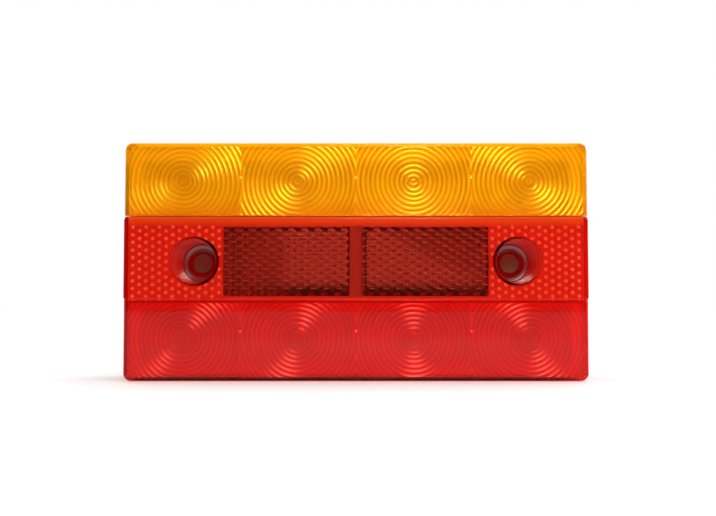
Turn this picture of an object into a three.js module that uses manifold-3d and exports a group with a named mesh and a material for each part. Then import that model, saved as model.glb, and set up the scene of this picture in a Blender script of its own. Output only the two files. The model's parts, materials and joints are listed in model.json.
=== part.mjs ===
// A 150 mm two-colour LED combination lamp for the rear of a trailer, in millimetres.
//
// Each sub-part is modelled in the lamp's own frame: x to the right, y up and z forward, with the
// mounting plane at z = 0. The exported group turns that frame so that +Z is up, the lens faces -Y
// and the mounting plane is y = 0. "back" and "front" below are distances from the mounting plane.
import * as THREE from "three";
import { mergeVertices } from "three/addons/utils/BufferGeometryUtils.js";
import Module from "manifold-3d";

const wasm = await Module();
wasm.setup();

// ---- Driving dimensions ----

const WIDTH = 150;
const HEIGHT = 77;
const DEPTH = 26; // mounting plane to the front of the centre band
const CORNER_RADIUS = 2.4;
const GAP = 0.3; // air between neighbouring pieces
const ROUND_STEPS = 32; // facets of a full turn on the larger round shapes
const CORNER_STEPS = 4; // facets of a rounded corner

const LENS_WALL = 1.6;
const LENS_FRONT_WALL = 2.2;
const LENS_BACK = 9.6; // rear edge of the lens skirt
const STRIP_FRONT = 25.2; // front of the amber and red strips, a step behind the centre band
const LENS_INSIDE = STRIP_FRONT - LENS_FRONT_WALL;
const LENS_EDGE_ROUND = 0.8;
const BAND_TOP = 14.2;
const BAND_BOTTOM = -12.6;
const BAND_EDGE_ROUND = 0.5;
const COLOUR_JOINT = 14.6; // where the amber moulding meets the red one

const CELL_COUNT = 4;
const CELL_PITCH = WIDTH / CELL_COUNT;
const AMBER_ROW = 26.3; // height of the amber optics' centres
const RED_ROW = -25;
const RING_PITCH = 3.1;
const RING_COUNT = 3;
const RING_GROOVE = 0.6;
const RING_STEPS = 24;

const SCREW_SPACING = 105;
const WELL_RIM_RADIUS = 7.8;
const WELL_FLOOR_RADIUS = 5;
const WELL_FILLET = 0.8;
const WELL_WALL = 1.6;
const WELL_FLOOR_FRONT = 7.2; // the seat of the screw head
const WELL_FLOOR_BACK = 5.2;
const SCREW_HOLE_RADIUS = 3.25;

const BASE_SHOULDER = 8.2; // front of the housing's outer wall, under the seal
const BASE_TONGUE = 12.5; // front of the rim that stands inside the lens skirt
const TONGUE_WALL = 1.6;
const FLOOR_BACK = 1.6; // bottom of the pockets in the rear face
const FLOOR_FRONT = 4;
const RIM_WIDTH = 3;
const RIB_WIDTH = 1.6;
const COLUMN_RIBS = [12.5, 32.5, SCREW_SPACING / 2]; // on each side of the middle
const ROW_RIB = 18.8;
const BOSS_RADIUS = 8;
const PAD_HALF = 12.5; // the flat pad in the middle of the rear face

const WELL_SEAL_RADIUS = 5.7;
const WELL_SEAL_BACK = 3.9; // bottom of the seal's seat in the screw boss
const WELL_SEAL_BORE = 3.6; // edge of the thin skin that the fixing screw pierces
const WELL_SEAL_SKIN = 0.6;

const BOARD_BACK = 6.4;
const BOARD_FRONT = 8;
const BOARD_WIDTH = 142;
const BOARD_HEIGHT = 69;
const BOARD_SCREW_X = 37.5;
const BOARD_SCREW_Y = 9;
const BOARD_SCREW_RADIUS = 1.25;
const STANDOFF_RADIUS = 3;
const STANDOFF_STEPS = 16;
const CORNER_POST = [66, 30.5];

const TRAY_WIDTH = 142;
const TRAY_WALL = 1.4;
const TRAY_BACK = BOARD_FRONT + GAP;
const TRAY_FRONT = LENS_INSIDE - GAP;
const TRAY_RIM = 1.2; // flange that closes the gap between a tray and the lens skirt
const AMBER_TRAY = [14.8, 34.4]; // lower and upper side
const RED_TRAY = [-34.4, 14.4];
const RED_CUPS_TOP = -15.6; // the red tray's cups end here, and its band pocket starts
const BAND_POCKET_FLOOR = 16.2;
const LED_WINDOW = 8.6;

const LED_SIZE = 7.6;
const LED_BODY = 1.8;

const REFLEX_INNER = 2.1; // edges of a reflex panel, measured from the middle
const REFLEX_OUTER = 43.1;
const REFLEX_HEIGHT = 22.6;
const PRISM_BACK = 20.1;
const PRISM_FRONT = LENS_INSIDE - GAP;
const BACKING_BACK = 16.8;
const BACKING_WALL = 1.2;

const INLET_Y = -24;
const INLET_HOLE_RADIUS = 6;
const GROMMET_FLANGE_RADIUS = 7.6;
const GROMMET_BORE_RADIUS = 3.3;
const GROMMET_BACK = 0.3;
const GROMMET_FLANGE = 1;

const PIN_SPACING = 5;
const PIN_ROW = -9;
const PIN_RADIUS = 0.6;

// ---- Solids: closed geometries turned into manifolds, joined and cut, and turned back ----

function solidOf(geometry) {
  const bare = new THREE.BufferGeometry();
  bare.setAttribute("position", geometry.getAttribute("position"));
  bare.setIndex(geometry.index);
  const merged = mergeVertices(bare, 1e-4);
  const mesh = new wasm.Mesh({
    numProp: 3,
    vertProperties: new Float32Array(merged.attributes.position.array),
    triVerts: new Uint32Array(merged.index.array),
  });
  return new wasm.Manifold(mesh);
}

function geometryOf(solid) {
  const { vertProperties, triVerts, numProp } = solid.getMesh();
  const positions = new Float32Array((vertProperties.length / numProp) * 3);
  for (let i = 0; i < positions.length / 3; i += 1) {
    for (let axis = 0; axis < 3; axis += 1) {
      positions[3 * i + axis] = vertProperties[numProp * i + axis];
    }
  }
  const geometry = new THREE.BufferGeometry();
  geometry.setAttribute("position", new THREE.BufferAttribute(positions, 3));
  geometry.setIndex([...triVerts]);
  const flat = geometry.toNonIndexed();
  flat.computeVertexNormals();
  return flat;
}

const join = (solids) => solids.reduce((whole, piece) => whole.add(piece));
const cut = (solid, tools) => tools.reduce((rest, tool) => rest.subtract(tool), solid);

// A rectangle with rounded corners around (x, y).
function roundedRect(width, height, radius, x = 0, y = 0) {
  const points = [];
  for (let corner = 0; corner < 4; corner += 1) {
    const signX = corner === 0 || corner === 3 ? 1 : -1;
    const signY = corner < 2 ? 1 : -1;
    const centreX = x + signX * (width / 2 - radius);
    const centreY = y + signY * (height / 2 - radius);
    for (let step = 0; step <= CORNER_STEPS; step += 1) {
      const angle = (corner + step / CORNER_STEPS) * (Math.PI / 2);
      points.push(
        new THREE.Vector2(centreX + radius * Math.cos(angle), centreY + radius * Math.sin(angle)),
      );
    }
  }
  return new THREE.Shape(points);
}

function slab(shape, back, front) {
  const geometry = new THREE.ExtrudeGeometry(shape, {
    depth: front - back,
    bevelEnabled: false,
  });
  return solidOf(geometry.translate(0, 0, back));
}

// A slab whose front edge is rounded by the given radius.
function softSlab(shape, back, front, radius) {
  const geometry = new THREE.ExtrudeGeometry(shape, {
    depth: front - back,
    bevelThickness: radius,
    bevelSize: radius,
    bevelOffset: -radius,
    bevelSegments: 3,
  });
  const block = solidOf(geometry.translate(0, 0, back - radius));
  return block.intersect(box([-WIDTH, WIDTH], [-WIDTH, WIDTH], [back, front]));
}

// A box given by its two limits along x, y and z.
function box([x0, x1], [y0, y1], [z0, z1]) {
  const geometry = new THREE.BoxGeometry(x1 - x0, y1 - y0, z1 - z0);
  return solidOf(geometry.translate((x0 + x1) / 2, (y0 + y1) / 2, (z0 + z1) / 2));
}

// A solid of revolution about the line through (x, y) along z. The profile is a list of
// [radius, z], either from axis to axis or closed on itself.
function turned(profile, x, y, steps = ROUND_STEPS) {
  const points = profile.map(([radius, z]) => new THREE.Vector2(radius, z));
  const geometry = new THREE.LatheGeometry(points, steps);
  return solidOf(geometry.rotateX(Math.PI / 2).translate(x, y, 0));
}

// A cylinder or cone from back to front.
function post(x, y, backRadius, back, front, frontRadius = backRadius, steps = ROUND_STEPS) {
  const profile = [
    [0, back],
    [backRadius, back],
    [frontRadius, front],
    [0, front],
  ];
  return turned(profile, x, y, steps);
}

const bothSides = (values) => values.flatMap((value) => [-value, value]);
const corners = ([x, y]) => bothSides([x]).flatMap((cx) => bothSides([y]).map((cy) => [cx, cy]));
const boardScrewPlaces = () => corners([BOARD_SCREW_X, BOARD_SCREW_Y]);
const wellCentres = bothSides([SCREW_SPACING / 2]);
const cellCentres = Array.from(
  { length: CELL_COUNT },
  (_, cell) => (cell - (CELL_COUNT - 1) / 2) * CELL_PITCH,
);

// ---- Lens: one shell with two colours, split at the colour joint ----

// Concentric V grooves on the inner side of one lens cell.
function ringGrooves(x, y) {
  const rings = [];
  for (let ring = 1; ring <= RING_COUNT; ring += 1) {
    const radius = ring * RING_PITCH;
    const profile = [
      [radius - RING_GROOVE, LENS_INSIDE - RING_GROOVE],
      [radius + RING_GROOVE, LENS_INSIDE - RING_GROOVE],
      [radius, LENS_INSIDE + RING_GROOVE],
      [radius - RING_GROOVE, LENS_INSIDE - RING_GROOVE],
    ];
    rings.push(turned(profile, x, y, RING_STEPS));
  }
  return rings;
}

// The inside of a screw well: the screw hole, the floor with a small fillet and the cone.
function wellHollow(x) {
  const profile = [
    [0, WELL_FLOOR_BACK - 1],
    [SCREW_HOLE_RADIUS, WELL_FLOOR_BACK - 1],
    [SCREW_HOLE_RADIUS, WELL_FLOOR_FRONT],
  ];
  for (let step = 0; step <= 3; step += 1) {
    const angle = (step * Math.PI) / 6;
    profile.push([
      WELL_FLOOR_RADIUS + WELL_FILLET * Math.sin(angle),
      WELL_FLOOR_FRONT + WELL_FILLET * (1 - Math.cos(angle)),
    ]);
  }
  profile.push([WELL_RIM_RADIUS, DEPTH], [0, DEPTH]);
  return turned(profile, x, 0);
}

function lensShell() {
  const outline = roundedRect(WIDTH, HEIGHT, CORNER_RADIUS);
  const body = softSlab(outline, LENS_BACK, STRIP_FRONT, LENS_EDGE_ROUND);
  const bandOutline = roundedRect(
    WIDTH,
    BAND_TOP - BAND_BOTTOM,
    2 * BAND_EDGE_ROUND,
    0,
    (BAND_TOP + BAND_BOTTOM) / 2,
  );
  const band = softSlab(bandOutline, LENS_INSIDE, DEPTH, BAND_EDGE_ROUND);
  const hollowOutline = roundedRect(WIDTH - 2 * LENS_WALL, HEIGHT - 2 * LENS_WALL, 0.6);
  const hollow = slab(hollowOutline, LENS_BACK - 1, LENS_INSIDE);
  const wellWalls = wellCentres.map((x) =>
    post(
      x,
      0,
      WELL_FLOOR_RADIUS + WELL_WALL,
      WELL_FLOOR_BACK,
      STRIP_FRONT,
      WELL_RIM_RADIUS + WELL_WALL,
    ),
  );
  const wellHollows = wellCentres.map(wellHollow);
  const grooves = cellCentres.flatMap((x) => [
    ...ringGrooves(x, AMBER_ROW),
    ...ringGrooves(x, RED_ROW),
  ]);
  const shell = cut(body.add(band), [hollow, ...grooves]);
  return cut(join([shell, ...wellWalls]), wellHollows);
}

function lensHalf(shell, yRange) {
  return shell.intersect(box([-WIDTH, WIDTH], yRange, [0, 2 * DEPTH]));
}

// ---- Base housing ----

function rearPockets() {
  const edge = WIDTH / 2 - GAP - RIM_WIDTH;
  const top = HEIGHT / 2 - GAP - RIM_WIDTH;
  const half = RIB_WIDTH / 2;
  const depth = [-1, FLOOR_BACK];
  const [first, second, third] = COLUMN_RIBS;
  const columns = [
    [first + half, second - half],
    [second + half, third - half],
    [third + half, edge],
  ];
  const rows = [
    [half, ROW_RIB - half],
    [ROW_RIB + half, top],
  ];
  const pockets = [];
  for (const side of [-1, 1]) {
    const flip = ([a, b]) => (side > 0 ? [a, b] : [-b, -a]);
    pockets.push(box([half - first, first - half], flip([PAD_HALF, top]), depth));
    for (const column of columns) {
      for (const row of rows) {
        pockets.push(box(flip(column), row, depth));
        pockets.push(box(flip(column), [-row[1], -row[0]], depth));
      }
    }
  }
  return cut(
    join(pockets),
    wellCentres.map((x) => post(x, 0, BOSS_RADIUS, -2, FLOOR_BACK + 1)),
  );
}

function baseHousing() {
  const outer = roundedRect(WIDTH - 2 * GAP, HEIGHT - 2 * GAP, CORNER_RADIUS);
  const tongueInset = LENS_WALL + GAP;
  const tongue = roundedRect(WIDTH - 2 * tongueInset, HEIGHT - 2 * tongueInset, 0.8);
  const hollowInset = tongueInset + TONGUE_WALL;
  const hollow = roundedRect(WIDTH - 2 * hollowInset, HEIGHT - 2 * hollowInset, 0.8);
  const shell = cut(join([slab(outer, 0, BASE_SHOULDER), slab(tongue, 1, BASE_TONGUE)]), [
    slab(hollow, FLOOR_FRONT, BASE_TONGUE + 1),
    rearPockets(),
  ]);

  const standTop = BOARD_BACK - GAP;
  const stands = [...boardScrewPlaces(), ...corners(CORNER_POST)].map(([x, y]) =>
    post(x, y, STANDOFF_RADIUS, FLOOR_BACK + 1, standTop, STANDOFF_RADIUS, STANDOFF_STEPS),
  );
  const bosses = wellCentres.map((x) => post(x, 0, BOSS_RADIUS, 0, WELL_FLOOR_BACK - GAP));

  const sealSeat = WELL_SEAL_RADIUS + GAP / 2;
  const tools = [post(0, INLET_Y, INLET_HOLE_RADIUS, -1, FLOOR_FRONT + 1)];
  for (const x of wellCentres) {
    tools.push(post(x, 0, SCREW_HOLE_RADIUS, -1, BASE_TONGUE));
    tools.push(post(x, 0, sealSeat, WELL_SEAL_BACK, BASE_TONGUE));
  }
  const pilot = BOARD_SCREW_RADIUS + 0.2;
  for (const [x, y] of boardScrewPlaces()) {
    tools.push(post(x, y, pilot, FLOOR_BACK + 1, BOARD_FRONT, pilot, 12));
  }
  return cut(join([shell, ...stands, ...bosses]), tools);
}

// ---- Seals ----

// A rubber disc between the floor of a screw well and its boss, thin in the middle.
function wellSeal() {
  const back = WELL_SEAL_BACK + 0.1;
  const front = WELL_FLOOR_BACK - 0.1;
  const middle = (back + front) / 2;
  return turned(
    [
      [0, middle - WELL_SEAL_SKIN / 2],
      [WELL_SEAL_BORE, middle - WELL_SEAL_SKIN / 2],
      [WELL_SEAL_BORE + 0.3, back],
      [WELL_SEAL_RADIUS, back],
      [WELL_SEAL_RADIUS, front],
      [WELL_SEAL_BORE + 0.3, front],
      [WELL_SEAL_BORE, middle + WELL_SEAL_SKIN / 2],
      [0, middle + WELL_SEAL_SKIN / 2],
    ],
    0,
    0,
    24,
  );
}

function lensSeal() {
  const outer = roundedRect(WIDTH - 4 * GAP, HEIGHT - 4 * GAP, CORNER_RADIUS);
  const inner = roundedRect(WIDTH - 2 * LENS_WALL, HEIGHT - 2 * LENS_WALL, 0.9);
  const back = BASE_SHOULDER + GAP / 2;
  const front = LENS_BACK - GAP / 2;
  return slab(outer, back, front).subtract(slab(inner, back - 1, front + 1));
}

// ---- Light trays ----

// A white tray with a cup and a square window for each LED, and a rim towards the lens skirt.
function lightTray([bottom, top], cupTop, ledRow) {
  const left = -TRAY_WIDTH / 2;
  const rimLeft = LENS_WALL + GAP - WIDTH / 2;
  const rimEdge = HEIGHT / 2 - LENS_WALL - GAP;
  const rimBottom = bottom < -HEIGHT / 3 ? -rimEdge : bottom;
  const rimTop = top > HEIGHT / 3 ? rimEdge : top;
  const tray = box([left, -left], [bottom, top], [TRAY_BACK, TRAY_FRONT]);
  const rim = box([rimLeft, -rimLeft], [rimBottom, rimTop], [TRAY_FRONT - TRAY_RIM, TRAY_FRONT]);
  const reach = (CELL_PITCH - TRAY_WALL) / 2;
  const cups = cellCentres.map((x) =>
    box(
      [Math.max(x - reach, left + TRAY_WALL), Math.min(x + reach, -left - TRAY_WALL)],
      [bottom + TRAY_WALL, cupTop],
      [TRAY_BACK + TRAY_WALL, TRAY_FRONT + 1],
    ),
  );
  const half = LED_WINDOW / 2;
  const windows = cellCentres.map((x) =>
    box([x - half, x + half], [ledRow - half, ledRow + half], [TRAY_BACK - 1, TRAY_BACK + 3]),
  );
  return cut(tray.add(rim), [...cups, ...windows]);
}

// The red tray also lines the centre band: a pocket in front for the reflex reflectors, a room
// behind it for the electronics, and a hole round each screw well.
function redTray() {
  const [, top] = RED_TRAY;
  const side = TRAY_WIDTH / 2 - TRAY_WALL;
  const pocketBottom = RED_CUPS_TOP + TRAY_WALL;
  const pocketTop = top - TRAY_WALL;
  const pocket = box([-side, side], [pocketBottom, pocketTop], [BAND_POCKET_FLOOR, DEPTH]);
  const room = box(
    [-side, side],
    [pocketBottom, pocketTop],
    [TRAY_BACK - 1, BAND_POCKET_FLOOR - TRAY_WALL],
  );
  const wellHole = WELL_RIM_RADIUS + WELL_WALL - 0.4;
  const wellHoles = wellCentres.map((x) => post(x, 0, wellHole, TRAY_BACK, DEPTH));
  return cut(lightTray(RED_TRAY, RED_CUPS_TOP, RED_ROW), [pocket, room, ...wellHoles]);
}

// ---- Reflex reflectors ----

function reflexPrism() {
  const width = REFLEX_OUTER - REFLEX_INNER;
  return slab(roundedRect(width, REFLEX_HEIGHT, 0.4), PRISM_BACK, PRISM_FRONT);
}

function reflexBacking() {
  const width = REFLEX_OUTER - REFLEX_INNER;
  const inside = [width - 2 * BACKING_WALL, REFLEX_HEIGHT - 2 * BACKING_WALL];
  const front = PRISM_BACK - GAP / 2;
  const tub = slab(roundedRect(width, REFLEX_HEIGHT, 0.6), BACKING_BACK, front);
  return tub.subtract(
    slab(roundedRect(inside[0], inside[1], 0.3), BACKING_BACK + BACKING_WALL, front + 1),
  );
}

// ---- Board and what it carries ----

function ledBoard() {
  const blank = slab(roundedRect(BOARD_WIDTH, BOARD_HEIGHT, 1), BOARD_BACK, BOARD_FRONT);
  const through = [BOARD_BACK - 1, BOARD_FRONT + 1];
  const tools = wellCentres.map((x) =>
    post(x, 0, WELL_FLOOR_RADIUS + WELL_WALL + 1, ...through),
  );
  const screwHole = BOARD_SCREW_RADIUS + GAP;
  for (const [x, y] of boardScrewPlaces()) {
    tools.push(post(x, y, screwHole, ...through, screwHole, 12));
  }
  const pinHole = PIN_RADIUS + 0.2;
  for (const x of pinPlaces()) {
    tools.push(post(x, PIN_ROW, pinHole, ...through, pinHole, 8));
  }
  return cut(blank, tools);
}

// A square LED package with a round shoulder and a dome, standing on z = 0.
function ledPackage() {
  const half = LED_SIZE / 2;
  const profile = [
    [0, 0.2],
    [3, 0.2],
    [3, LED_BODY + 0.8],
  ];
  for (let step = 0; step <= 4; step += 1) {
    const angle = (step * Math.PI) / 8;
    profile.push([2.6 * Math.cos(angle), LED_BODY + 1 + 2.2 * Math.sin(angle)]);
  }
  profile[profile.length - 1][0] = 0;
  return box([-half, half], [-half, half], [0, LED_BODY]).add(turned(profile, 0, 0, 16));
}

// A pan-head screw along z, with its cross recess, whose head rests on z = 0.
function boardScrew() {
  const shank = -(BOARD_FRONT - FLOOR_BACK - 1.3);
  const profile = [
    [0, shank],
    [BOARD_SCREW_RADIUS * 0.5, shank],
    [BOARD_SCREW_RADIUS, shank + 0.8],
    [BOARD_SCREW_RADIUS, 0.1],
    [2.6, 0.1],
    [2.6, 1],
    [1.8, 1.9],
    [0, 2.1],
  ];
  const recess = [
    box([-1.4, 1.4], [-0.3, 0.3], [1, 3]),
    box([-0.3, 0.3], [-1.4, 1.4], [1, 3]),
  ];
  return cut(turned(profile, 0, 0, 16), recess);
}

// A moulded surface-mount component with a lead tab at each end, standing on z = 0.
function moulded(length, width, height) {
  const body = box([-length / 2, length / 2], [-width / 2, width / 2], [0.1, height]);
  const tab = box([-length / 2 - 0.8, length / 2 + 0.8], [-width / 4, width / 4], [0, height / 3]);
  return body.add(tab);
}

// A power transistor package: body, wide heat tab and three leads.
function driverChip() {
  const body = box([-3.3, 3.3], [-3, 3], [0.1, 2.3]);
  const heatTab = box([-2.6, 2.6], [2, 4.4], [0, 0.6]);
  const leads = [-2.3, 0, 2.3].map((x) => box([x - 0.35, x + 0.35], [-4.8, -2], [0, 0.6]));
  return join([body, heatTab, ...leads]);
}

const pinPlaces = () =>
  Array.from({ length: 4 }, (_, pin) => (pin - 1.5) * PIN_SPACING);

// A lead pin through the board, with a collar on the board's front.
function solderPin() {
  const front = BOARD_FRONT + 1.6;
  const profile = [
    [0, FLOOR_FRONT + 0.6],
    [PIN_RADIUS, FLOOR_FRONT + 0.6],
    [PIN_RADIUS, BOARD_FRONT + 0.1],
    [2 * PIN_RADIUS, BOARD_FRONT + 0.1],
    [PIN_RADIUS, BOARD_FRONT + 0.8],
    [PIN_RADIUS, front],
    [0, front],
  ];
  return turned(profile, 0, 0, 12);
}

// ---- Cable grommet: a flanged rubber sleeve that grips the edge of the inlet hole ----

function cableGrommet() {
  const neck = INLET_HOLE_RADIUS - 0.2;
  const rearFlange = GROMMET_BACK + GROMMET_FLANGE;
  const frontFlange = FLOOR_FRONT + 0.2;
  const front = frontFlange + GROMMET_FLANGE;
  return turned(
    [
      [GROMMET_BORE_RADIUS, GROMMET_BACK],
      [GROMMET_FLANGE_RADIUS, GROMMET_BACK],
      [GROMMET_FLANGE_RADIUS, rearFlange],
      [neck, rearFlange],
      [neck, frontFlange],
      [GROMMET_FLANGE_RADIUS, frontFlange],
      [GROMMET_FLANGE_RADIUS - 0.8, front],
      [GROMMET_BORE_RADIUS, front],
      [GROMMET_BORE_RADIUS, GROMMET_BACK],
    ],
    0,
    0,
  );
}

// ---- Materials ----

const MATERIALS = {
  amberLens: { color: 0xec9207, roughness: 0.12, metalness: 0 },
  redLens: { color: 0xc81f1b, roughness: 0.12, metalness: 0 },
  prism: { color: 0x7a241c, roughness: 0.2, metalness: 0 },
  whitePlastic: { color: 0xeeece4, roughness: 0.5, metalness: 0 },
  blackPlastic: { color: 0x18191b, roughness: 0.6, metalness: 0 },
  board: { color: 0xe4e6e2, roughness: 0.45, metalness: 0 },
  led: { color: 0xf3ead0, roughness: 0.15, metalness: 0 },
  rubber: { color: 0x121212, roughness: 0.85, metalness: 0 },
  steel: { color: 0xb9bcc0, roughness: 0.3, metalness: 1 },
  brass: { color: 0xc8a24a, roughness: 0.35, metalness: 1 },
  component: { color: 0x232427, roughness: 0.5, metalness: 0 },
};

// ---- Assembly ----

const lamp = new THREE.Group();
lamp.rotation.x = Math.PI / 2;

function place(name, solid, look, x = 0, y = 0, z = 0) {
  const mesh = new THREE.Mesh(geometryOf(solid), new THREE.MeshStandardMaterial(MATERIALS[look]));
  mesh.name = name;
  mesh.position.set(x, y, z);
  lamp.add(mesh);
}

const shell = lensShell();
place("lens_amber", lensHalf(shell, [COLOUR_JOINT + GAP / 2, HEIGHT]), "amberLens");
place("lens_red", lensHalf(shell, [-HEIGHT, COLOUR_JOINT - GAP / 2]), "redLens");
place("base_housing", baseHousing(), "blackPlastic");
place("lens_seal", lensSeal(), "rubber");
place("led_board", ledBoard(), "board");
const amberCupsTop = AMBER_TRAY[1] - TRAY_WALL;
place("light_tray_amber", lightTray(AMBER_TRAY, amberCupsTop, AMBER_ROW), "whitePlastic");
place("light_tray_red", redTray(), "whitePlastic");
place("cable_grommet", cableGrommet(), "rubber", 0, INLET_Y);

for (const [side, sign] of [["left", -1], ["right", 1]]) {
  const middle = (sign * (REFLEX_INNER + REFLEX_OUTER)) / 2;
  place(`reflex_prism_${side}`, reflexPrism(), "prism", middle);
  place(`reflex_backing_${side}`, reflexBacking(), "whitePlastic", middle);
  place(`well_seal_${side}`, wellSeal(), "rubber", (sign * SCREW_SPACING) / 2);
}

cellCentres.forEach((x, cell) => {
  place(`led_amber_${cell + 1}`, ledPackage(), "led", x, AMBER_ROW, BOARD_FRONT + 0.1);
  place(`led_red_${cell + 1}`, ledPackage(), "led", x, RED_ROW, BOARD_FRONT + 0.1);
});

boardScrewPlaces().forEach(([x, y], index) => {
  place(`board_screw_${index + 1}`, boardScrew(), "steel", x, y, BOARD_FRONT);
});

const onBoard = BOARD_FRONT + 0.1;
place("driver_chip_amber", driverChip(), "component", -14, 3, onBoard);
place("driver_chip_red", driverChip(), "component", 14, 3, onBoard);
place("diode_amber", moulded(4.6, 3.6, 2.2), "component", -26, 5, onBoard);
place("diode_red", moulded(4.6, 3.6, 2.2), "component", 26, 5, onBoard);
place("capacitor", moulded(7.3, 4.3, 2.9), "component", 0, 4, onBoard);
[-28, -19, 19, 28].forEach((x, index) => {
  place(`resistor_${index + 1}`, moulded(5.4, 3.2, 0.7), "component", x, -6, onBoard);
});
pinPlaces().forEach((x, index) => {
  place(`solder_pin_${index + 1}`, solderPin(), "brass", x, PIN_ROW);
});

export default lamp;
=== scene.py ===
"""The looks of a 150 mm two-colour LED trailer lamp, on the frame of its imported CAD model.

The two lens mouldings and the reflex prisms are made here in full detail and stand for their
plain CAD nodes. Every other CAD node, the LEDs among them, is shown with a material of its own.

Shapes are worked out as (x, up, depth) points: x to the right, up from the lamp's middle, and
depth forward from the mounting plane. In the row frame that is (x, -depth, up).
"""
import json
import math

import bmesh
import bpy
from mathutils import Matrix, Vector


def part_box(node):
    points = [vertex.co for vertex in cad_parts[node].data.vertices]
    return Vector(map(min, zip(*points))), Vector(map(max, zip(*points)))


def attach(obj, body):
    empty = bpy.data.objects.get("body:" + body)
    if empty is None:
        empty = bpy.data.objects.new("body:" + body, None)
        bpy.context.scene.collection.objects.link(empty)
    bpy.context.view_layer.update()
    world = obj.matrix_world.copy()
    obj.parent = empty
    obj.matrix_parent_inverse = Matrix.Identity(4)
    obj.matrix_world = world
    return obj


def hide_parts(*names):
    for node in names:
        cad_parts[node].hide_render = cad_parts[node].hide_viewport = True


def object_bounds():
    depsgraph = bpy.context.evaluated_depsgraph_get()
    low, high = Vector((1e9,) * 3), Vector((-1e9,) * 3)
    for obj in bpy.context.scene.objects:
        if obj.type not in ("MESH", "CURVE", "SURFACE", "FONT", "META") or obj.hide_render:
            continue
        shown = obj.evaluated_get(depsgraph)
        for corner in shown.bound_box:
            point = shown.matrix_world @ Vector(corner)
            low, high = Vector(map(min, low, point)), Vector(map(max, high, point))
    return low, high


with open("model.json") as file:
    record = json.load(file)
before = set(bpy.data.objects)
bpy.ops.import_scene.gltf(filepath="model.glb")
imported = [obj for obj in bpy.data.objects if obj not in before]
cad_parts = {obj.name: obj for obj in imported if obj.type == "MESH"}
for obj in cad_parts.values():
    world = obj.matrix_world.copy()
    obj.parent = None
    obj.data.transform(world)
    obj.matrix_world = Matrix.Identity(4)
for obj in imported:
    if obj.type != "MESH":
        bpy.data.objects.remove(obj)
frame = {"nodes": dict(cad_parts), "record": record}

MM = 0.001
MERGE_DISTANCE = 0.001 * MM
OVERLAP = 0.2 * MM  # shapes that are joined reach this far into each other
CLEARANCE = 0.2 * MM
ROUND_STEPS = 8  # steps over a quarter turn of an edge
NEAR = 0.1 * MM  # a face this close to a level counts as on it
CAD_LOW, CAD_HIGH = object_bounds()
NODES = frame["nodes"]
MOUNTS = {mount["name"]: mount for mount in frame["record"]["mounts"]}

# ---- Sizes read from the frame ----

WIDTH = CAD_HIGH.x - CAD_LOW.x
HEIGHT = CAD_HIGH.z - CAD_LOW.z
BAND_FRONT = -CAD_LOW.y
AMBER_LOW, AMBER_HIGH = (Vector(corner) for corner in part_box("lens_amber"))
RED_LOW, RED_HIGH = (Vector(corner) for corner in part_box("lens_red"))
STRIP_FRONT = -AMBER_LOW.y
LENS_BACK = -AMBER_HIGH.y
WELL_X = MOUNTS["screw_seat_right"]["pos_m"][0]
WELL_SEAT = -MOUNTS["screw_seat_right"]["pos_m"][1]
WELL_BACK = -RED_HIGH.y


def box_middle(node):
    low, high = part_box(node)
    return (Vector(low) + Vector(high)) / 2


CELLS = range(1, 5)
CELL_X = [box_middle(f"led_amber_{cell}").x for cell in CELLS]
AMBER_ROW = box_middle("led_amber_1").z
RED_ROW = box_middle("led_red_1").z

# ---- Sizes of the fine shape ----

LENS_WALL = 1.0 * MM
FRONT_WALL = 2.2 * MM
LENS_INSIDE = STRIP_FRONT - FRONT_WALL
CORNER_RADIUS = 2.4 * MM
INNER_CORNER = 0.8 * MM
LENS_EDGE_ROUND = 0.8 * MM
BAND_TOP = 14.2 * MM
BAND_BOTTOM = -12.6 * MM
BAND_EDGE_ROUND = 0.5 * MM
BAND_ROOT = 0.5 * MM
BAND_INSET = 0.01 * MM  # keeps the sides of the band off the sides of the lens

AMBER_RINGS_BOTTOM = 15 * MM
RED_RINGS_TOP = -13.3 * MM
RING_PITCH = 1.56 * MM
AMBER_RIDGE = 0.125 * MM  # height of a full ring of the amber strip
RED_RIDGE = 0.185 * MM
RING_START = 0.35  # share of the full height at the ring centre
RING_RISE = 7 * MM  # radius at which the rings reach their full height
RING_BASE = 0.05 * MM  # the grooves stand this far inside the flat inner face
RING_ROOT = 0.8 * MM  # depth to which the ringed plates reach into the lens front
RING_SAMPLES = 4  # steps across one ring
RING_TURN_STEPS = 144
PARALLEL = 1e-9  # a spoke that leans less than this runs along a side of its cell

WELL_RIM_RADIUS = 7.1 * MM
WELL_FLOOR_RADIUS = 5 * MM
WELL_APRON = 1.0 * MM  # width of the shallow cone round the flat floor
WELL_APRON_RISE = 0.2 * MM
WELL_FILLET = 0.4 * MM
WELL_WALL = 1.0 * MM
WELL_RIM_ROUND = 0.3 * MM
SCREW_HOLE_RADIUS = 3.25 * MM
TURN_STEPS = 96

DOT_PITCH = 2.5 * MM
DOT_RADIUS = 0.78 * MM
DOT_HEIGHT = 0.35 * MM
DOT_ROOT = 0.4 * MM
DOT_ARC_STEPS = 4
DOT_TURN_STEPS = 16
DOTS_INNER = 43.6 * MM
DOTS_OUTER = 73.2 * MM
DOTS_TOP = 11.4 * MM
WINDOW_DEPTH = 0.25 * MM
WINDOW_CORNER = 0.4 * MM
MARK_RISE = 1.2 * MM  # marks between the optics: so far above the amber row, twice for the red
GROOVE_HALF = 0.7 * MM
RIB_HEIGHT = 0.3 * MM
RIB_ROOT = 0.6 * MM
RIB_CORNER = 0.2 * MM

# ---- Meshes ----


def make_object(name, points, faces):
    mesh = bpy.data.meshes.new(name)
    mesh.from_pydata([(x, -depth, up) for x, up, depth in points], [], faces)
    obj = bpy.data.objects.new(name, mesh)
    bpy.context.scene.collection.objects.link(obj)
    face_outwards(mesh)
    return obj


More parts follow.
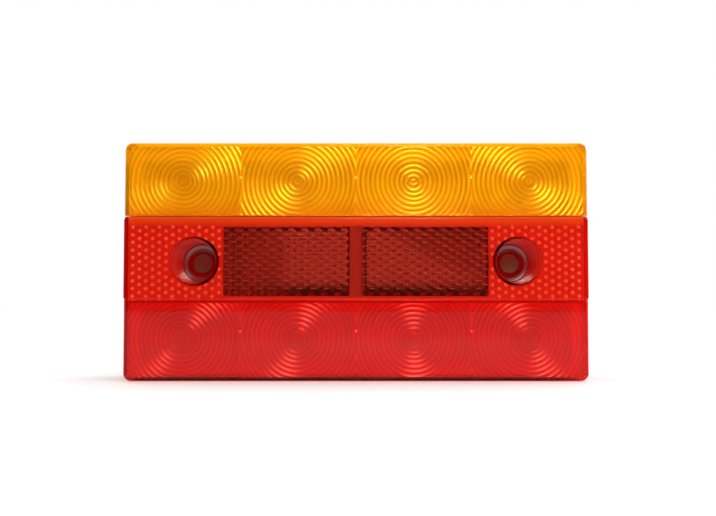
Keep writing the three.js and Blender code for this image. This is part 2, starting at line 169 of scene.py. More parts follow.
def object_from(work, name):
    """Turns a bmesh into an object of the scene."""
    mesh = bpy.data.meshes.new(name)
    work.to_mesh(mesh)
    work.free()
    obj = bpy.data.objects.new(name, mesh)
    bpy.context.scene.collection.objects.link(obj)
    return obj


def close_relief(work, y):
    """Makes a closed solid of an open relief, with straight sides down to a flat face at y."""
    rim = [edge for edge in work.edges if edge.is_boundary]
    sides = bmesh.ops.extrude_edge_only(work, edges=rim)["geom"]
    for item in sides:
        if isinstance(item, bmesh.types.BMVert):
            item.co.y = y
    edges = [item for item in sides if isinstance(item, bmesh.types.BMEdge) and item.is_boundary]
    bmesh.ops.contextual_create(work, geom=edges)
    bmesh.ops.recalc_face_normals(work, faces=work.faces)


def face_outwards(mesh):
    work = bmesh.new()
    work.from_mesh(mesh)
    bmesh.ops.recalc_face_normals(work, faces=work.faces)
    work.to_mesh(mesh)
    work.free()


def outline(half_width, half_height, radius, x=0.0, up=0.0, steps=ROUND_STEPS):
    """The points of a rounded rectangle, counterclockwise from the right."""
    points = []
    for corner in range(4):
        sign_x = 1 if corner in (0, 3) else -1
        sign_up = 1 if corner < 2 else -1
        for step in range(steps + 1):
            angle = (corner + step / steps) * math.pi / 2
            points.append((
                x + sign_x * (half_width - radius) + radius * math.cos(angle),
                up + sign_up * (half_height - radius) + radius * math.sin(angle),
            ))
    return points


def stack(name, loops):
    """A closed solid through loops of equal length, each a list of (x, up) with its depth."""
    points, faces = [], []
    count = len(loops[0][0])
    for loop, depth in loops:
        points += [(x, up, depth) for x, up in loop]
    for level in range(len(loops) - 1):
        start = level * count
        for i in range(count):
            j = (i + 1) % count
            faces.append((start + i, start + j, start + count + j, start + count + i))
    faces.append(tuple(range(count)))
    faces.append(tuple(range(len(points) - count, len(points))))
    return make_object(name, points, faces)


def soft_block(name, half_width, half_height, corner, edge, back, front, up=0.0):
    """A block whose front edge is rounded by edge."""
    loops = [(outline(half_width, half_height, corner, up=up), back)]
    for step in range(ROUND_STEPS + 1):
        angle = step / ROUND_STEPS * math.pi / 2
        inset = edge * (1 - math.cos(angle))
        depth = front - edge * (1 - math.sin(angle))
        loop = outline(half_width - inset, half_height - inset, corner - inset, up=up)
        loops.append((loop, depth))
    return stack(name, loops)


def revolved(name, profile, x, up, steps=TURN_STEPS):
    """A closed solid from a profile of (radius, depth) that starts and ends on the axis."""
    points, faces = [], []
    inner = profile[1:-1]
    for radius, depth in inner:
        for step in range(steps):
            angle = 2 * math.pi * step / steps
            points.append((x + radius * math.cos(angle), up + radius * math.sin(angle), depth))
    for level in range(len(inner) - 1):
        for i in range(steps):
            j = (i + 1) % steps
            faces.append((
                level * steps + i,
                level * steps + j,
                (level + 1) * steps + j,
                (level + 1) * steps + i,
            ))
    for end, level in ((profile[0], 0), (profile[-1], len(inner) - 1)):
        points.append((x, up, end[1]))
        hub = len(points) - 1
        for i in range(steps):
            j = (i + 1) % steps
            faces.append((hub, level * steps + i, level * steps + j))
    return make_object(name, points, faces)


def joined(name, objects):
    """Several closed solids that don't meet, as one object."""
    work = bmesh.new()
    for obj in objects:
        work.from_mesh(obj.data)
        discard(obj)
    return object_from(work, name)


def discard(obj):
    mesh = obj.data
    bpy.data.objects.remove(obj)
    bpy.data.meshes.remove(mesh)


def apply_boolean(target, tool, operation):
    modifier = target.modifiers.new("cut", "BOOLEAN")
    modifier.solver = "MANIFOLD"
    modifier.operation = operation
    modifier.object = tool
    depsgraph = bpy.context.evaluated_depsgraph_get()
    mesh = bpy.data.meshes.new_from_object(target.evaluated_get(depsgraph))
    target.modifiers.clear()
    old = target.data
    target.data = mesh
    bpy.data.meshes.remove(old)
    discard(tool)


# ---- Lens optics ----


def ring_ridge(radius, ridge):
    """How far the ringed side stands inwards at a distance from the ring centre."""
    across = (radius / RING_PITCH) % 1.0
    growth = min(1.0, RING_START + (1 - RING_START) * radius / RING_RISE)
    side = abs(2 * across - 1)
    # Halfway between a sharp ridge and a round bead.
    return ridge * growth * (1 - (side + side ** 2) / 2)


def ringed_cell(work, x, row, left, right, bottom, top, base, ridge):
    """One cell of concentric beads, out to the cell's rectangle around (x, row)."""
    angles = {2 * math.pi * step / RING_TURN_STEPS for step in range(RING_TURN_STEPS)}
    for corner_x in (left, right):
        for corner_up in (bottom, top):
            angles.add(math.atan2(corner_up - row, corner_x - x) % (2 * math.pi))
    angles = sorted(angles)
    furthest = max(
        math.hypot(corner_x - x, corner_up - row)
        for corner_x in (left, right)
        for corner_up in (bottom, top)
    )
    step_length = RING_PITCH / RING_SAMPLES
    steps = math.ceil(furthest / step_length)
    columns = []
    for angle in angles:
        across, rise = math.cos(angle), math.sin(angle)
        reach = min(
            (right - x) / across if across > PARALLEL else math.inf,
            (left - x) / across if across < -PARALLEL else math.inf,
            (top - row) / rise if rise > PARALLEL else math.inf,
            (bottom - row) / rise if rise < -PARALLEL else math.inf,
        )
        column = []
        for step in range(1, steps + 1):
            radius = min(step * step_length, reach)
            point = (x + radius * across, -(base - ring_ridge(radius, ridge)), row + radius * rise)
            column.append(work.verts.new(point))
        columns.append(column)
    hub = work.verts.new((x, -(base - ring_ridge(0, ridge)), row))
    for i, column in enumerate(columns):
        following = columns[(i + 1) % len(columns)]
        work.faces.new((hub, column[0], following[0]))
        for step in range(steps - 1):
            work.faces.new((column[step], column[step + 1], following[step + 1], following[step]))


def ringed_strip(row, bottom, top, ridge):
    """The four ringed cells of one strip as a closed plate, rooted in the lens front."""
    work = bmesh.new()
    half_pitch = (CELL_X[1] - CELL_X[0]) / 2
    edge = WIDTH / 2 - LENS_WALL + OVERLAP
    base = LENS_INSIDE - RING_BASE
    for x in CELL_X:
        left = max(x - half_pitch, -edge)
        right = min(x + half_pitch, edge)
        ringed_cell(work, x, row, left, right, bottom, top, base, ridge)
    bmesh.ops.remove_doubles(work, verts=work.verts, dist=MERGE_DISTANCE)
    bmesh.ops.dissolve_degenerate(work, dist=MERGE_DISTANCE, edges=work.edges)
    close_relief(work, -LENS_INSIDE - RING_ROOT)
    return object_from(work, "rings")


def dot(x, up):
    """A small dome on the inner side of the lens."""
    base = LENS_INSIDE
    profile = [(0, base + DOT_ROOT), (DOT_RADIUS, base + DOT_ROOT), (DOT_RADIUS, base)]
    for step in range(1, DOT_ARC_STEPS):
        angle = step / DOT_ARC_STEPS * math.pi / 2
        profile.append((DOT_RADIUS * math.cos(angle), base - DOT_HEIGHT * math.sin(angle)))
    profile.append((0, base - DOT_HEIGHT))
    return revolved("dot", profile, x, up, steps=DOT_TURN_STEPS)


def cell_joints():
    """The x of the lines between neighbouring optics."""
    return [(left + right) / 2 for left, right in zip(CELL_X, CELL_X[1:])]


def dot_places():
    """A triangular lattice of dots beside the reflex panels, clear of the screw wells."""
    column_pitch = DOT_PITCH * math.cos(math.pi / 6)
    columns = int((DOTS_OUTER - DOTS_INNER) / column_pitch) + 1
    rows = int(DOTS_TOP / DOT_PITCH) + 1
    clear = WELL_RIM_RADIUS + WELL_WALL + CLEARANCE
    places = []
    for side in (-1, 1):
        for column in range(columns):
            x = side * (DOTS_INNER + DOT_RADIUS + column * column_pitch)
            offset = DOT_PITCH / 2 if column % 2 else 0.0
            for row in range(-rows, rows + 1):
                up = row * DOT_PITCH + offset
                inside = abs(up) < DOTS_TOP and abs(x) < DOTS_OUTER
                if inside and math.hypot(abs(x) - WELL_X, up) > clear:
                    places.append((x, up))
    return places


# ---- Lens mouldings ----


def lens_shell():
    body = soft_block(
        "lens", WIDTH / 2, HEIGHT / 2, CORNER_RADIUS, LENS_EDGE_ROUND, LENS_BACK, STRIP_FRONT
    )
    band = soft_block(
        "band",
        WIDTH / 2 - BAND_INSET,
        (BAND_TOP - BAND_BOTTOM) / 2,
        2 * BAND_EDGE_ROUND,
        BAND_EDGE_ROUND,
        LENS_INSIDE + BAND_ROOT,
        BAND_FRONT,
        up=(BAND_TOP + BAND_BOTTOM) / 2,
    )
    apply_boolean(body, band, "UNION")
    hollow = stack("hollow", [
        (outline(WIDTH / 2 - LENS_WALL, HEIGHT / 2 - LENS_WALL, INNER_CORNER), LENS_BACK - MM),
        (outline(WIDTH / 2 - LENS_WALL, HEIGHT / 2 - LENS_WALL, INNER_CORNER), LENS_INSIDE),
    ])
    apply_boolean(body, hollow, "DIFFERENCE")
    return body


def reflex_window():
    """The shallow recess in front of the reflex prisms and the bar between them."""
    low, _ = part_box("reflex_prism_left")
    _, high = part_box("reflex_prism_right")
    half_width = (high[0] - low[0]) / 2
    half_height = (high[2] - low[2]) / 2
    loop = outline(half_width, half_height, WINDOW_CORNER)
    return stack("window", [(loop, LENS_INSIDE - MM), (loop, LENS_INSIDE + WINDOW_DEPTH)])


def middle_rib():
    """The rib between the two reflex panels."""
    _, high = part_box("reflex_prism_left")
    loop = outline(-high[0] - OVERLAP, high[2] + OVERLAP, RIB_CORNER)
    return stack("rib", [(loop, LENS_INSIDE - RIB_HEIGHT), (loop, LENS_INSIDE + RIB_ROOT)])


def step_groove():
    """The V groove on the inner side, along the foot of the centre band."""
    reach = WIDTH / 2 - LENS_WALL - CLEARANCE
    half, middle = GROOVE_HALF, BAND_BOTTOM
    points = []
    for x in (-reach, reach):
        points += [
            (x, middle - half - MM, LENS_INSIDE - MM),
            (x, middle, LENS_INSIDE + half),
            (x, middle + half + MM, LENS_INSIDE - MM),
        ]
    faces = [(0, 1, 2), (3, 4, 5), (0, 1, 4, 3), (1, 2, 5, 4), (2, 0, 3, 5)]
    return make_object("groove", points, faces)


def half_space(name, bottom, top):
    """A block that holds everything between two heights."""
    return stack(name, [
        (outline(WIDTH, (top - bottom) / 2, MM, up=(top + bottom) / 2), 0.0),
        (outline(WIDTH, (top - bottom) / 2, MM, up=(top + bottom) / 2), 2 * BAND_FRONT),
    ])


def well_radius(depth):
    """Radius of the cone between the fillet over the well floor and the rim."""
    foot = WELL_SEAT + WELL_APRON_RISE + WELL_FILLET
    share = (depth - foot) / (BAND_FRONT - foot)
    foot_radius = WELL_FLOOR_RADIUS + WELL_APRON + WELL_FILLET
    return foot_radius + share * (WELL_RIM_RADIUS - foot_radius)


def well_wall(x):
    """The outside of a well, as a solid cone."""
    return revolved("well_wall", [
        (0, WELL_BACK),
        (well_radius(WELL_BACK) + WELL_WALL, WELL_BACK),
        (WELL_RIM_RADIUS + WELL_WALL, BAND_FRONT - MM),
        (0, BAND_FRONT - MM),
    ], x, 0.0)


def well_hollow(x):
    """The inside of a well: screw hole, floor with its apron, fillet, cone and rounded rim."""
    profile = [
        (0, WELL_BACK - MM),
        (SCREW_HOLE_RADIUS, WELL_BACK - MM),
        (SCREW_HOLE_RADIUS, WELL_SEAT),
        (WELL_FLOOR_RADIUS, WELL_SEAT),
    ]
    for step in range(ROUND_STEPS + 1):
        angle = step / ROUND_STEPS * math.pi / 2
        radius = WELL_FLOOR_RADIUS + WELL_APRON + WELL_FILLET * math.sin(angle)
        depth = WELL_SEAT + WELL_APRON_RISE + WELL_FILLET * (1 - math.cos(angle))
        profile.append((radius, depth))
    lip = BAND_FRONT - WELL_RIM_ROUND
    for step in range(ROUND_STEPS + 1):
        angle = step / ROUND_STEPS * math.pi / 2
        flare = WELL_RIM_ROUND * (1 - math.cos(angle))
        depth = lip + WELL_RIM_ROUND * math.sin(angle)
        profile.append((well_radius(lip) + flare, depth))
    profile.append((well_radius(lip) + WELL_RIM_ROUND, BAND_FRONT + MM))
    profile.append((0, BAND_FRONT + MM))
    return revolved("well_hollow", profile, x, 0.0)


def finish_edges(obj, angle=14):
    """Smooth rounds with sharp creases, with normals that keep the flat faces flat."""
    mesh = obj.data
    for face in mesh.polygons:
        face.use_smooth = True
    mesh.set_sharp_from_angle(angle=math.radians(angle))
    weighted = obj.modifiers.new("weighted", "WEIGHTED_NORMAL")
    weighted.keep_sharp = True


def build_amber_lens():
    shell = lens_shell()
    apply_boolean(shell, half_space("upper", AMBER_LOW.z, HEIGHT), "INTERSECT")
    top = HEIGHT / 2 - LENS_WALL + OVERLAP
    rings = ringed_strip(AMBER_ROW, AMBER_RINGS_BOTTOM, top, AMBER_RIDGE)
    apply_boolean(shell, rings, "UNION")
    marks = [dot(x, AMBER_ROW + MARK_RISE) for x in cell_joints()]
    apply_boolean(shell, joined("marks", marks), "UNION")
    shell.name = "amber_lens"
    return shell


def build_red_lens():
    shell = lens_shell()
    apply_boolean(shell, half_space("lower", -HEIGHT, RED_HIGH.z), "INTERSECT")
    bottom = -HEIGHT / 2 + LENS_WALL - OVERLAP
    rings = ringed_strip(RED_ROW, bottom, RED_RINGS_TOP, RED_RIDGE)
    apply_boolean(shell, rings, "UNION")
    marks = [dot(x, RED_ROW + 2 * MARK_RISE) for x in cell_joints()]
    apply_boolean(shell, joined("marks", marks), "UNION")
    apply_boolean(shell, joined("cuts", [reflex_window(), step_groove()]), "DIFFERENCE")
    apply_boolean(shell, middle_rib(), "UNION")
    apply_boolean(shell, joined("dots", [dot(x, up) for x, up in dot_places()]), "UNION")
    apply_boolean(shell, joined("walls", [well_wall(-WELL_X), well_wall(WELL_X)]), "UNION")
    hollows = joined("hollows", [well_hollow(-WELL_X), well_hollow(WELL_X)])
    apply_boolean(shell, hollows, "DIFFERENCE")
    shell.name = "red_lens"
    return shell


# ---- Reflex prisms ----

HEX_SIDE = DOT_PITCH / math.sqrt(3)  # centre to corner of a prism cell
HEX_COLUMN = 1.5 * HEX_SIDE
CUBE_STEP = HEX_SIDE / math.sqrt(2)  # rise of one cube edge along the sight line
# Thin light bars in front of the prism plate: painted glints on the level edges of the cube corners.
GLINT_BAR_REACH = 0.62 * HEX_SIDE
GLINT_BAR_HALF = 0.11 * MM
GLINT_BAR_CORNER = 0.9 * GLINT_BAR_HALF
GLINT_BAR_GAP = 0.02 * MM
GLINT_BAR_THICKNESS = 0.05 * MM
GLINT_BAR_MARGIN = 0.3 * MM


def prism_glint_bar(x, up, front):
    """A thin light bar on the front of the plate, over a level edge of the prism cells: a painted
    glint of that edge.
    """
    loop = outline(GLINT_BAR_REACH, GLINT_BAR_HALF, GLINT_BAR_CORNER, x, up + DOT_PITCH / 2, steps=2)
    back = front + GLINT_BAR_GAP
    return stack("glint_bar", [(loop, back), (loop, back + GLINT_BAR_THICKNESS)])


def cube_corner(work, x, up, apex_depth):
    """The three faces of one cube corner, with its apex towards the lens."""
    apex = work.verts.new((x, -apex_depth, up))
    ring = []
    for corner in range(6):
        angle = corner * math.pi / 3
        drop = CUBE_STEP if corner % 2 else 2 * CUBE_STEP
        ring.append(work.verts.new((
            x + HEX_SIDE * math.cos(angle),
            drop - apex_depth,
            up + HEX_SIDE * math.sin(angle),
        )))
    for corner in (1, 3, 5):
        work.faces.new((apex, ring[corner], ring[(corner + 1) % 6], ring[(corner + 2) % 6]))


def prism_cells(middle, columns, rows):
    """The centres (x, up) of the prism cells, every other column half a pitch higher."""
    return [
        (middle.x + column * HEX_COLUMN, middle.z + (row + (column % 2) / 2) * DOT_PITCH)
        for column in range(-columns, columns + 1)
        for row in range(-rows, rows + 1)
    ]


def build_plate(side, low, high):
    """A plate with cube corners on its back, cut to the CAD plate's outline."""
    middle, half = (low + high) / 2, (high - low) / 2
    columns = int(half.x / HEX_COLUMN) + 2
    rows = int(half.z / DOT_PITCH) + 2
    work = bmesh.new()
    for x, up in prism_cells(middle, columns, rows):
        cube_corner(work, x, up, 2 * CUBE_STEP - high.y)
    bmesh.ops.remove_doubles(work, verts=work.verts, dist=MERGE_DISTANCE)
    close_relief(work, low.y)
    plate = object_from(work, f"prism_plate_{side}")
    loop = outline(half.x, half.z, WINDOW_CORNER, middle.x, middle.z)
    apply_boolean(plate, stack("trim", [(loop, -high.y - MM), (loop, -low.y)]), "INTERSECT")
    return plate


def build_glint_bars(side, low, high):
    """The painted glint bars of all the cells on one plate, as one object."""
    middle, half = (low + high) / 2, (high - low) / 2
    columns = int(half.x / HEX_COLUMN)
    rows = int(2 * half.z / DOT_PITCH)
    bars = [
        prism_glint_bar(x, up, -low.y)
        for x, up in prism_cells(middle, columns, rows)
        if abs(up - middle.z) < half.z - GLINT_BAR_MARGIN
    ]
    return joined(f"prism_glint_bars_{side}", bars)


# ---- Materials ----


def new_material(name):
    material = bpy.data.materials.new(name)
    material.use_nodes = True
    nodes = material.node_tree.nodes
    return material, nodes, material.node_tree.links, nodes["Principled BSDF"]


def noise(nodes, links, scale, detail=4.0):
    place = nodes.new("ShaderNodeTexCoord")
    texture = nodes.new("ShaderNodeTexNoise")
    texture.inputs["Scale"].default_value = scale
    texture.inputs["Detail"].default_value = detail
    links.new(place.outputs["Object"], texture.inputs["Vector"])
    return texture


def spread(nodes, links, source, low, high):
    """Maps a 0 to 1 value to low to high."""
    remap = nodes.new("ShaderNodeMapRange")
    remap.inputs["To Min"].default_value = low
    remap.inputs["To Max"].default_value = high
    links.new(source, remap.inputs["Value"])
    return remap.outputs["Result"]


def ramp(nodes, links, source, start, end):
    """0 at start and 1 at end, held outside them."""
    node = nodes.new("ShaderNodeMapRange")
    node.inputs["From Min"].default_value = start
    node.inputs["From Max"].default_value = end
    links.new(source, node.inputs["Value"])
    return node.outputs["Result"]


def mixed(nodes, links, factor, first, second):
    """Mixes two colours, each given as a value or as a socket."""
    node = nodes.new("ShaderNodeMix")
    node.data_type = "RGBA"
    links.new(factor, node.inputs["Factor"])
    for name, colour in (("A", first), ("B", second)):
        socket = next(item for item in node.inputs if item.name == name and item.type == "RGBA")
        if isinstance(colour, tuple):
            socket.default_value = (*colour, 1)
        else:
            links.new(colour, socket)
    return next(item for item in node.outputs if item.type == "RGBA")


def bump(nodes, links, shader, source, distance, strength=1.0):
    node = nodes.new("ShaderNodeBump")
    node.inputs["Distance"].default_value = distance
    node.inputs["Strength"].default_value = strength
    links.new(source, node.inputs["Height"])
    links.new(node.outputs["Normal"], shader.inputs["Normal"])


def shadow_through(nodes, links, surface, tint):
    """Lets light pass a lens face straight, coloured by half a wall."""
    light_path = nodes.new("ShaderNodeLightPath")
    clear = nodes.new("ShaderNodeBsdfTransparent")
    clear.inputs["Color"].default_value = (*[math.sqrt(part) for part in tint], 1)
    mix = nodes.new("ShaderNodeMixShader")
    links.new(light_path.outputs["Is Shadow Ray"], mix.inputs["Fac"])
    links.new(surface, mix.inputs[1])
    links.new(clear.outputs["BSDF"], mix.inputs[2])
    links.new(mix.outputs["Shader"], nodes["Material Output"].inputs["Surface"])


def lens_face(name, tint):
    """Clear coloured acrylic, with faint moulding waves and a slightly worn polish."""
    material, nodes, links, shader = new_material(name)
    shader.inputs["Base Color"].default_value = (*tint, 1)
    shader.inputs["Transmission Weight"].default_value = 1.0
    shader.inputs["IOR"].default_value = 1.28
    polish = noise(nodes, links, 180.0)
    links.new(spread(nodes, links, polish.outputs["Fac"], 0.01, 0.05), shader.inputs["Roughness"])
    waves = noise(nodes, links, 40.0, 1.0)
    bump(nodes, links, shader, waves.outputs["Fac"], 0.02 * MM)
    shadow_through(nodes, links, shader.outputs["BSDF"], tint)
    return material


def lens_optic(name, tint, low, high, span, painted_neighbour_tone, painted_neighbour_heights, share, gloss=1.75):
    """The inner side of the lens: part clear and, by share, part solid colour.

    The colour goes from low to high over span, a pair of relief heights above the inner face: painted
    shade in the grooves and on the flat face, painted highlight on the crests.
    Towards painted_neighbour_heights on the lamp it turns to painted_neighbour_tone, painted light
    from the neighbouring strip. gloss is the solid part's IOR.
    """
    material, nodes, links, clear = new_material(name)
    clear.inputs["Base Color"].default_value = (*tint, 1)
    clear.inputs["Transmission Weight"].default_value = 1.0
    clear.inputs["IOR"].default_value = 1.49
    clear.inputs["Roughness"].default_value = 0.08
    place = nodes.new("ShaderNodeTexCoord")
    axes = nodes.new("ShaderNodeSeparateXYZ")
    links.new(place.outputs["Object"], axes.inputs["Vector"])
    # Painted shade and highlight: darker in the ring grooves and on the flat inner face, lighter on
    # the crests of the rings, dots and marks.
    relief = ramp(nodes, links, axes.outputs["Y"], span[0] - LENS_INSIDE, span[1] - LENS_INSIDE)
    tone = mixed(nodes, links, relief, low, high)
    patches = noise(nodes, links, 70.0, 3.0)
    cloudiness = spread(nodes, links, patches.outputs["Fac"], -0.25, 0.5)
    tone = mixed(nodes, links, cloudiness, tone, low)
    # Painted light from the neighbouring strip: the amber optic turns a darker red-orange towards its
    # bottom, a painted reflection of the red band, and the red band turns orange towards its top,
    # painted amber light.
    edge = ramp(nodes, links, axes.outputs["Z"], *painted_neighbour_heights)
    tone = mixed(nodes, links, edge, tone, painted_neighbour_tone)
    body = nodes.new("ShaderNodeBsdfPrincipled")
    body.inputs["Roughness"].default_value = 0.2
    body.inputs["IOR"].default_value = gloss
    links.new(tone, body.inputs["Base Color"])
    mix = nodes.new("ShaderNodeMixShader")
    mix.inputs["Fac"].default_value = share
    links.new(clear.outputs["BSDF"], mix.inputs[1])
    links.new(body.outputs["BSDF"], mix.inputs[2])
    shadow_through(nodes, links, mix.outputs["Shader"], tint)
    return material


def plastic(name, colour, rough, grain_scale, grain):
    """Moulded plastic with a fine grain and a faint change of tone."""
    material, nodes, links, shader = new_material(name)
    tone = noise(nodes, links, 60.0)
    darker = tuple(part * 0.88 for part in colour)
    lighter = tuple(min(1.0, part * 1.1) for part in colour)
    shade = mixed(nodes, links, tone.outputs["Fac"], darker, lighter)
    links.new(shade, shader.inputs["Base Color"])
    links.new(spread(nodes, links, tone.outputs["Fac"], rough - 0.08, rough + 0.08),
              shader.inputs["Roughness"])
    texture = noise(nodes, links, grain_scale, 2.0)
    bump(nodes, links, shader, texture.outputs["Fac"], grain)
    return material


def metal(name, colour, rough):
    material, nodes, links, shader = new_material(name)
    shader.inputs["Base Color"].default_value = (*colour, 1)
    shader.inputs["Metallic"].default_value = 1.0
    texture = noise(nodes, links, 900.0)
    links.new(spread(nodes, links, texture.outputs["Fac"], rough - 0.1, rough + 0.15),
              shader.inputs["Roughness"])
    bump(nodes, links, shader, texture.outputs["Fac"], 0.01 * MM)
    return material


def dress(obj, material):
    """Gives every slot of an object one material."""
    if not obj.material_slots:
        obj.data.materials.append(material)
    for slot in obj.material_slots:
        slot.material = material


# The slots of a lens mesh, in the order in which dress_inside adds their materials.
OUTSIDE, RINGS, BAND, SKIRT, RECESS, RIB_TOP, WELL_APRON_TOP = range(7)


def lens_slot(x, depth, up):
    """The slot of a lens face with its centre there, x counted outwards from the middle."""
    if math.hypot(x - WELL_X, up) < well_radius(depth) + 0.5 * WELL_WALL:
        apron_top = WELL_SEAT + WELL_APRON_RISE + WELL_FILLET
        if apron_top < depth < BAND_FRONT - 2 * WELL_RIM_ROUND:
            return SKIRT
        if WELL_SEAT + MERGE_DISTANCE < depth < apron_top:
            return WELL_APRON_TOP
        return OUTSIDE
    on_side = x >= WIDTH / 2 - 2 * NEAR or abs(up) >= HEIGHT / 2 - 2 * NEAR
    if on_side or depth > LENS_INSIDE + 5 * NEAR:
        return OUTSIDE
    if depth > LENS_INSIDE + NEAR:
        return RECESS
    if x < MM and RED_RINGS_TOP < up < -BAND_BOTTOM:
        return RIB_TOP if depth < LENS_INSIDE - NEAR else BAND
    if depth < LENS_BACK + NEAR:
        return SKIRT
    in_band = RED_RINGS_TOP < up < AMBER_RINGS_BOTTOM
    on_inner_side = depth < LENS_INSIDE - 2 * MM
    return BAND if in_band or on_inner_side else RINGS


def dress_inside(lens, rings, band, skirt, window, rib, apron):
    """Gives the cavity side of a lens, its wells and its reflex window their own looks."""
    for material in (rings, band, skirt, window, rib, apron):
        lens.data.materials.append(material)
    for face in lens.data.polygons:
        centre = face.center
        face.material_index = lens_slot(abs(centre.x), -centre.y, centre.z)


# ---- The object ----

AMBER_TINT = (0.98, 0.64, 0.03)
RED_TINT = (0.93, 0.075, 0.05)
NO_PAINTED_NEIGHBOUR = (1.0, 2.0)  # heights past the lamp, for an optic with one tone all over
# Relief heights over which an optic goes from painted shade in the grooves to painted highlight on
# the crests.
AMBER_SPAN = (RING_BASE, RING_BASE + AMBER_RIDGE)
RED_SPAN = (RING_BASE, RING_BASE + RED_RIDGE)
DOT_SPAN = (0.05 * MM, DOT_HEIGHT)
# Lighter tones of the crests: painted highlights. The skirt tones below start from them.
AMBER_BRIGHT = (0.86, 0.52, 0.01)
RED_BRIGHT = (0.72, 0.03, 0.015)
# Skirt tones, lighter than the optics and with no clear part: on the rear edges of the lens walls
# they are painted light, piped along the wall; in the wells they give the walls their opaque red.
AMBER_SKIRT_BRIGHT = (1.0, 0.62, 0.02)
RED_SKIRT_BRIGHT = (0.95, 0.05, 0.03)
AMBER = lens_face("amber_acrylic", AMBER_TINT)
AMBER_OPTIC = lens_optic(
    "amber_optic", AMBER_TINT, (0.60, 0.24, 0.003), AMBER_BRIGHT, AMBER_SPAN,
    # Darker red-orange towards the bottom of the strip: painted reflection of the red band.
    (0.66, 0.16, 0.005), (21 * MM, 14.5 * MM), 0.74,
)
# Opaque and bright: on the rear edge of the lens wall, painted light piped along the wall.
AMBER_SKIRT = lens_optic(
    "amber_skirt", AMBER_TINT, AMBER_BRIGHT, AMBER_SKIRT_BRIGHT, AMBER_SPAN,
    AMBER_SKIRT_BRIGHT, NO_PAINTED_NEIGHBOUR, 1.0, 1.35,
)
RED = lens_face("red_acrylic", RED_TINT)
RED_OPTIC = lens_optic(
    "red_optic", RED_TINT, (0.50, 0.012, 0.008), RED_BRIGHT, RED_SPAN, RED_BRIGHT, NO_PAINTED_NEIGHBOUR, 0.74
)
RED_BAND = lens_optic(
    # The dots go from the band's tone to a lighter top: painted highlights.
    "red_band", RED_TINT, (0.60, 0.12, 0.045), (0.92, 0.80, 0.46), DOT_SPAN,
    # Orange towards the top of the band: painted amber light from the strip above.
    (0.84, 0.95, 0.10), (11.2 * MM, 15 * MM), 0.9,
)
# Opaque red of the well walls; on the rear edge of the lens wall, painted light piped along the wall.
RED_SKIRT = lens_optic(
    "red_skirt", RED_TINT, RED_BRIGHT, RED_SKIRT_BRIGHT, RED_SPAN,
    RED_SKIRT_BRIGHT, NO_PAINTED_NEIGHBOUR, 1.0, 1.35,
)
# Dark brownish red, almost opaque: painted shade of the deep slot behind the rib.
RIB = lens_optic(
    "red_rib", RED_TINT, (0.26, 0.10, 0.065), (0.32, 0.13, 0.075), RED_SPAN, RED_BRIGHT, NO_PAINTED_NEIGHBOUR, 0.95
)
APRON = lens_optic(
    "red_apron", RED_TINT, (0.22, 0.01, 0.008), (0.3, 0.02, 0.015), RED_SPAN, RED_BRIGHT, NO_PAINTED_NEIGHBOUR,
    1.0, 1.6,
)
WINDOW = lens_face("red_window", (0.78, 0.95, 0.90))
PRISM = lens_face("prism_acrylic", (0.55, 0.31, 0.25))
# Light bars over the level prism edges: painted glints.
PRISM_GLINT_BAR = plastic("prism_glint_bar", (0.36, 0.42, 0.40), 0.3, 900.0, 0.005 * MM)
WHITE = plastic("white_plastic", (0.86, 0.85, 0.81), 0.45, 1500.0, 0.01 * MM)
BLACK = plastic("black_plastic", (0.012, 0.013, 0.014), 0.5, 2200.0, 0.03 * MM)
RUBBER = plastic("rubber", (0.008, 0.008, 0.008), 0.75, 1200.0, 0.03 * MM)
# Warm brown in place of black rubber: painted dim red light on the seals behind the screw holes.
SEAL_PAINTED_RED_LIGHT = plastic("seal_painted_red_light", (0.20, 0.10, 0.035), 0.6, 1200.0, 0.03 * MM)
BOARD = plastic("board_mask", (0.78, 0.79, 0.76), 0.35, 700.0, 0.01 * MM)
CHIP = plastic("component_body", (0.02, 0.021, 0.023), 0.5, 3000.0, 0.02 * MM)
EPOXY = plastic("led_epoxy", (0.72, 0.66, 0.5), 0.15, 900.0, 0.005 * MM)
STEEL = metal("screw_steel", (0.5, 0.52, 0.55), 0.3)
BRASS = metal("solder_brass", (0.62, 0.45, 0.2), 0.3)

SLOT_LOOKS = {
    "amber_lens": AMBER,
    "red_lens": RED,
    "reflex_prism": PRISM,
    "reflex_backing": WHITE,
    "white_plastic": WHITE,
    "board": BOARD,
    "led_epoxy": EPOXY,
    "component_body": CHIP,
    "solder_brass": BRASS,
    "screw_steel": STEEL,
    "seal_rubber": RUBBER,
    "housing_plastic": BLACK,
}
NODE_SLOTS = {part["node"]: part["material_slot"] for part in frame["record"]["subparts"]}
for node_name, obj in NODES.items():
    dress(obj, SLOT_LOOKS[NODE_SLOTS[node_name]])
# The well seals, seen through the screw holes, get a warm brown in place of black rubber: painted dim
# red light.
for side_name in ("left", "right"):
    dress(NODES[f"well_seal_{side_name}"], SEAL_PAINTED_RED_LIGHT)


def show(piece, slot, *nodes):
    dress(piece, SLOT_LOOKS[slot])
    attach(piece, "root")
    if nodes:
        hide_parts(*nodes)


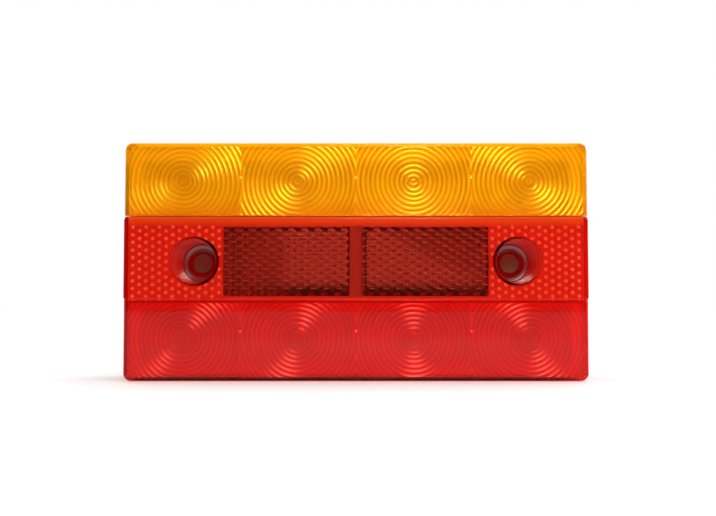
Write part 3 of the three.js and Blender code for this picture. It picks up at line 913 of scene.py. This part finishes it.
amber_lens = build_amber_lens()
finish_edges(amber_lens)
show(amber_lens, "amber_lens", "lens_amber")
dress_inside(amber_lens, AMBER_OPTIC, AMBER_OPTIC, AMBER_SKIRT, AMBER, AMBER, AMBER)
red_lens = build_red_lens()
finish_edges(red_lens)
show(red_lens, "red_lens", "lens_red")
dress_inside(red_lens, RED_OPTIC, RED_BAND, RED_SKIRT, WINDOW, RIB, APRON)
for side_name in ("left", "right"):
    plate_low, plate_high = (Vector(corner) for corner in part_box(f"reflex_prism_{side_name}"))
    prism = build_plate(side_name, plate_low, plate_high)
    glint_bars = build_glint_bars(side_name, plate_low, plate_high)
    show(prism, "reflex_prism", f"reflex_prism_{side_name}")
    show(glint_bars, "reflex_prism")
    # The bars are painted glints on the level prism edges.
    dress(glint_bars, PRISM_GLINT_BAR)

# ---- Stage ----


def build_floor():
    level = CAD_LOW.z - CLEARANCE
    corners = [(-2, -2), (2, -2), (2, 2), (-2, 2)]
    floor = make_object("floor", [(x, level, depth) for x, depth in corners], [(0, 1, 2, 3)])
    material, _, _, shader = new_material("floor_paper")
    shader.inputs["Base Color"].default_value = (0.9, 0.9, 0.9, 1)
    shader.inputs["Roughness"].default_value = 0.9
    dress(floor, material)


def area_light(name, place, size, power, colour=(1, 1, 1)):
    """A rectangular lamp that points at the middle of the mounting face."""
    data = bpy.data.lights.new(name, "AREA")
    data.shape = "RECTANGLE"
    data.size, data.size_y = size
    data.energy = power
    data.color = colour
    lamp = bpy.data.objects.new(name, data)
    bpy.context.scene.collection.objects.link(lamp)
    lamp.location = place
    lamp.rotation_euler = (-Vector(place)).to_track_quat("-Z", "Y").to_euler()


def sun_light(name, source, strength, spread_degrees):
    data = bpy.data.lights.new(name, "SUN")
    data.energy = strength
    data.angle = math.radians(spread_degrees)
    lamp = bpy.data.objects.new(name, data)
    bpy.context.scene.collection.objects.link(lamp)
    lamp.rotation_euler = Vector(source).to_track_quat("Z", "Y").to_euler()


def build_world():
    """White to the eye. It lights from behind and all sides, and is dark in front of the lamp."""
    world = bpy.data.worlds.new("studio")
    world.use_nodes = True
    nodes = world.node_tree.nodes
    links = world.node_tree.links
    background = nodes["Background"]
    background.inputs["Color"].default_value = (1, 1, 1, 1)
    place = nodes.new("ShaderNodeTexCoord")
    axes = nodes.new("ShaderNodeSeparateXYZ")
    links.new(place.outputs["Generated"], axes.inputs["Vector"])
    shade = nodes.new("ShaderNodeMapRange")
    shade.interpolation_type = "SMOOTHSTEP"
    shade.inputs["From Min"].default_value = -0.9
    shade.inputs["From Max"].default_value = -0.3
    shade.inputs["To Min"].default_value = 0.06
    shade.inputs["To Max"].default_value = 0.9
    links.new(axes.outputs["Y"], shade.inputs["Value"])
    light_path = nodes.new("ShaderNodeLightPath")
    pick = nodes.new("ShaderNodeMix")
    pick.inputs["B"].default_value = 1.0
    links.new(light_path.outputs["Is Camera Ray"], pick.inputs["Factor"])
    links.new(shade.outputs["Result"], pick.inputs["A"])
    links.new(pick.outputs["Result"], background.inputs["Strength"])
    bpy.context.scene.world = world


def build_camera():
    data = bpy.data.cameras.new("camera")
    data.lens = 47.0
    camera = bpy.data.objects.new("camera", data)
    bpy.context.scene.collection.objects.link(camera)
    elevation = math.radians(-2.6)  # slightly below the lamp's middle
    distance = 0.3013
    aim = Vector((0.65 * MM, -BAND_FRONT, 1.0 * MM))
    back = Vector((0, -math.cos(elevation), math.sin(elevation)))
    camera.location = aim + back * distance
    camera.rotation_euler = (-back).to_track_quat("-Z", "Y").to_euler()
    bpy.context.scene.camera = camera


build_floor()
build_world()
area_light("key", place=(0.029, -0.326, 0.13), size=(0.09, 0.07), power=0.41)
area_light("side", place=(0.42, -0.25, 0), size=(0.03, 0.3), power=0.3, colour=(1, 0.88, 0.74))
sun_light("top", source=(0.25, 0.1, 1.0), strength=1.25, spread_degrees=60)
build_camera()
bpy.context.scene.view_settings.view_transform = "Standard"
